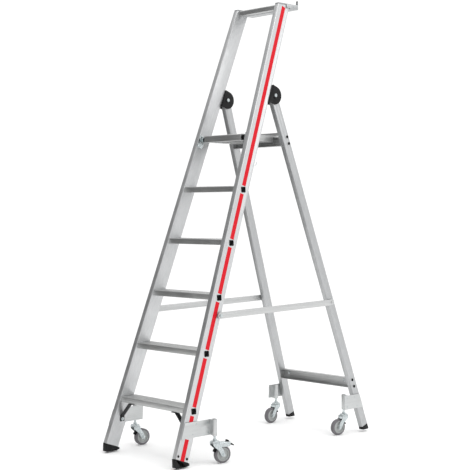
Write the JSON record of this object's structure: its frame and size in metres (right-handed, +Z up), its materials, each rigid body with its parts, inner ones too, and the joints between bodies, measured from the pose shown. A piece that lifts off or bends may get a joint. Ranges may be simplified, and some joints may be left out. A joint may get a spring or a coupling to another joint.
{
  "type": "rolling warehouse ladder",
  "caption": "Aluminium platform step ladder with guard rails, tool tray and a folding rear frame, on spring-mounted swivel castors with a brake.",
  "frame": {"origin": "on the floor, midway between the stiles, where their front edges meet the floor", "axes": "+X right for a person facing the treads, +Y to the rear, +Z up"},
  "size_m": [0.5891, 1.2408, 2.058],
  "materials": {
    "aluminium": "mill-finish extrusion, satin",
    "tray_sheet": "folded sheet, satin",
    "zinc_steel": "bright zinc plate",
    "black_plastic": "moulded, fine texture",
    "black_steel": "black powder coat",
    "grey_plastic": "moulded polypropylene",
    "grey_rubber": "non-marking grey rubber"
  },
  "bodies": {
    "front_frame": {"stile_right": "aluminium", "stile_cap_right": "grey_plastic", "front_shoe_right": "black_plastic", "tread_brace_right": "black_steel", "hinge_bracket_right": "black_plastic", "hinge_pin_right": "zinc_steel", "platform_plate_right": "zinc_steel", "stay_bolt_right": "zinc_steel", "castor_bracket_front_right": "aluminium", "castor_spring_front_right": "zinc_steel", "stile_left": "aluminium", "stile_cap_left": "grey_plastic", "front_shoe_left": "black_plastic", "tread_brace_left": "black_steel", "hinge_bracket_left": "black_plastic", "hinge_pin_left": "zinc_steel", "platform_plate_left": "zinc_steel", "stay_bolt_left": "zinc_steel", "castor_bracket_front_left": "aluminium", "castor_spring_front_left": "zinc_steel", "tread_1": "aluminium", "tread_2": "aluminium", "tread_3": "aluminium", "tread_4": "aluminium", "tread_5": "aluminium", "top_bar": "aluminium", "tool_tray": "tray_sheet", "platform_rod": "zinc_steel"},
    "rear_frame": {"rear_leg_right": "aluminium", "rear_foot_right": "black_plastic", "castor_bracket_rear_right": "aluminium", "castor_spring_rear_right": "zinc_steel", "rear_leg_left": "aluminium", "rear_foot_left": "black_plastic", "castor_bracket_rear_left": "aluminium", "castor_spring_rear_left": "zinc_steel", "crossbar_lower": "aluminium", "crossbar_upper": "aluminium"},
    "platform": {"platform_deck": "aluminium"},
    "stay_right": {"side_stay_right": "aluminium"},
    "stay_left": {"side_stay_left": "aluminium"},
    "castor_front_right_stem": {"castor_stem_front_right": "zinc_steel"},
    "castor_front_right_fork": {"castor_fork_front_right": "zinc_steel"},
    "castor_front_right_wheel": {"castor_hub_front_right": "grey_plastic", "castor_tyre_front_right": "grey_rubber"},
    "brake_pedal": {"brake_pedal": "black_plastic"},
    "castor_front_left_stem": {"castor_stem_front_left": "zinc_steel"},
    "castor_front_left_fork": {"castor_fork_front_left": "zinc_steel"},
    "castor_front_left_wheel": {"castor_hub_front_left": "grey_plastic", "castor_tyre_front_left": "grey_rubber"},
    "castor_rear_right_stem": {"castor_stem_rear_right": "zinc_steel"},
    "castor_rear_right_fork": {"castor_fork_rear_right": "zinc_steel"},
    "castor_rear_right_wheel": {"castor_hub_rear_right": "grey_plastic", "castor_tyre_rear_right": "grey_rubber"},
    "castor_rear_left_stem": {"castor_stem_rear_left": "zinc_steel"},
    "castor_rear_left_fork": {"castor_fork_rear_left": "zinc_steel"},
    "castor_rear_left_wheel": {"castor_hub_rear_left": "grey_plastic", "castor_tyre_rear_left": "grey_rubber"}
  },
  "joints": [
    {"name": "frame_fold", "type": "hinge", "parent": "front_frame", "child": "rear_frame", "pos_m": [0, 0.68344, 1.603], "axis": [-1, 0, 0], "range_deg": [0, 24]},
    {"name": "platform_lift", "type": "hinge", "parent": "front_frame", "child": "platform", "pos_m": [0, 0.53148, 1.407], "axis": [1, 0, 0], "range_deg": [0, 60]},
    {"name": "stay_right_swing", "type": "hinge", "parent": "front_frame", "child": "stay_right", "pos_m": [0.225, 0.28757, 0.624], "axis": [1, 0, 0], "range_deg": [0, 66]},
    {"name": "stay_left_swing", "type": "hinge", "parent": "front_frame", "child": "stay_left", "pos_m": [-0.225, 0.28757, 0.624], "axis": [1, 0, 0], "range_deg": [0, 66]},
    {"name": "castor_front_right_spring", "type": "slide", "parent": "front_frame", "child": "castor_front_right_stem", "axis": [0, 0, 1], "range_m": [0, 0.01], "stiffness_N_per_m": 8000, "springref_m": -0.012, "deforming": ["castor_spring_front_right"]},
    {"name": "castor_front_right_swivel", "type": "hinge", "parent": "castor_front_right_stem", "child": "castor_front_right_fork", "pos_m": [0.2675, 0.216, 0.0915], "axis": [0, 0, 1], "continuous": true},
    {"name": "castor_front_right_roll", "type": "hinge", "parent": "castor_front_right_fork", "child": "castor_front_right_wheel", "pos_m": [0.27621, 0.25093, 0.0375], "axis": [0.9703, -0.2419, 0], "continuous": true},
    {"name": "brake_pedal_tilt", "type": "hinge", "parent": "castor_front_right_fork", "child": "brake_pedal", "pos_m": [0.2825, 0.27616, 0.083], "axis": [0.9703, -0.2419, 0], "range_deg": [0, 14]},
    {"name": "castor_front_left_spring", "type": "slide", "parent": "front_frame", "child": "castor_front_left_stem", "axis": [0, 0, 1], "range_m": [0, 0.01], "stiffness_N_per_m": 8000, "springref_m": -0.012, "deforming": ["castor_spring_front_left"]},
    {"name": "castor_front_left_swivel", "type": "hinge", "parent": "castor_front_left_stem", "child": "castor_front_left_fork", "pos_m": [-0.2675, 0.216, 0.0915], "axis": [0, 0, 1], "continuous": true},
    {"name": "castor_front_left_roll", "type": "hinge", "parent": "castor_front_left_fork", "child": "castor_front_left_wheel", "pos_m": [-0.26249, 0.25165, 0.0375], "axis": [0.9903, -0.1392, 0], "continuous": true},
    {"name": "castor_rear_right_spring", "type": "slide", "parent": "rear_frame", "child": "castor_rear_right_stem", "axis": [0, 0, 1], "range_m": [0, 0.01], "stiffness_N_per_m": 8000, "springref_m": -0.012, "deforming": ["castor_spring_rear_right"]},
    {"name": "castor_rear_right_swivel", "type": "hinge", "parent": "castor_rear_right_stem", "child": "castor_rear_right_fork", "pos_m": [0.226, 1.105, 0.0915], "axis": [0, 0, 1], "continuous": true},
    {"name": "castor_rear_right_roll", "type": "hinge", "parent": "castor_rear_right_fork", "child": "castor_rear_right_wheel", "pos_m": [0.21975, 1.06955, 0.0375], "axis": [-0.9848, 0.1736, 0], "continuous": true},
    {"name": "castor_rear_left_spring", "type": "slide", "parent": "rear_frame", "child": "castor_rear_left_stem", "axis": [0, 0, 1], "range_m": [0, 0.01], "stiffness_N_per_m": 8000, "springref_m": -0.012, "deforming": ["castor_spring_rear_left"]},
    {"name": "castor_rear_left_swivel", "type": "hinge", "parent": "castor_rear_left_stem", "child": "castor_rear_left_fork", "pos_m": [-0.226, 1.105, 0.0915], "axis": [0, 0, 1], "continuous": true},
    {"name": "castor_rear_left_roll", "type": "hinge", "parent": "castor_rear_left_fork", "child": "castor_rear_left_wheel", "pos_m": [-0.22726, 1.06902, 0.0375], "axis": [-0.9994, 0.0349, 0], "continuous": true}
  ],
  "couplings": [
    {"joint": "platform_lift", "follows": "frame_fold", "ratio": 2.5},
    {"joint": "stay_right_swing", "follows": "frame_fold", "ratio": 2.75},
    {"joint": "stay_left_swing", "follows": "frame_fold", "ratio": 2.75}
  ]
}
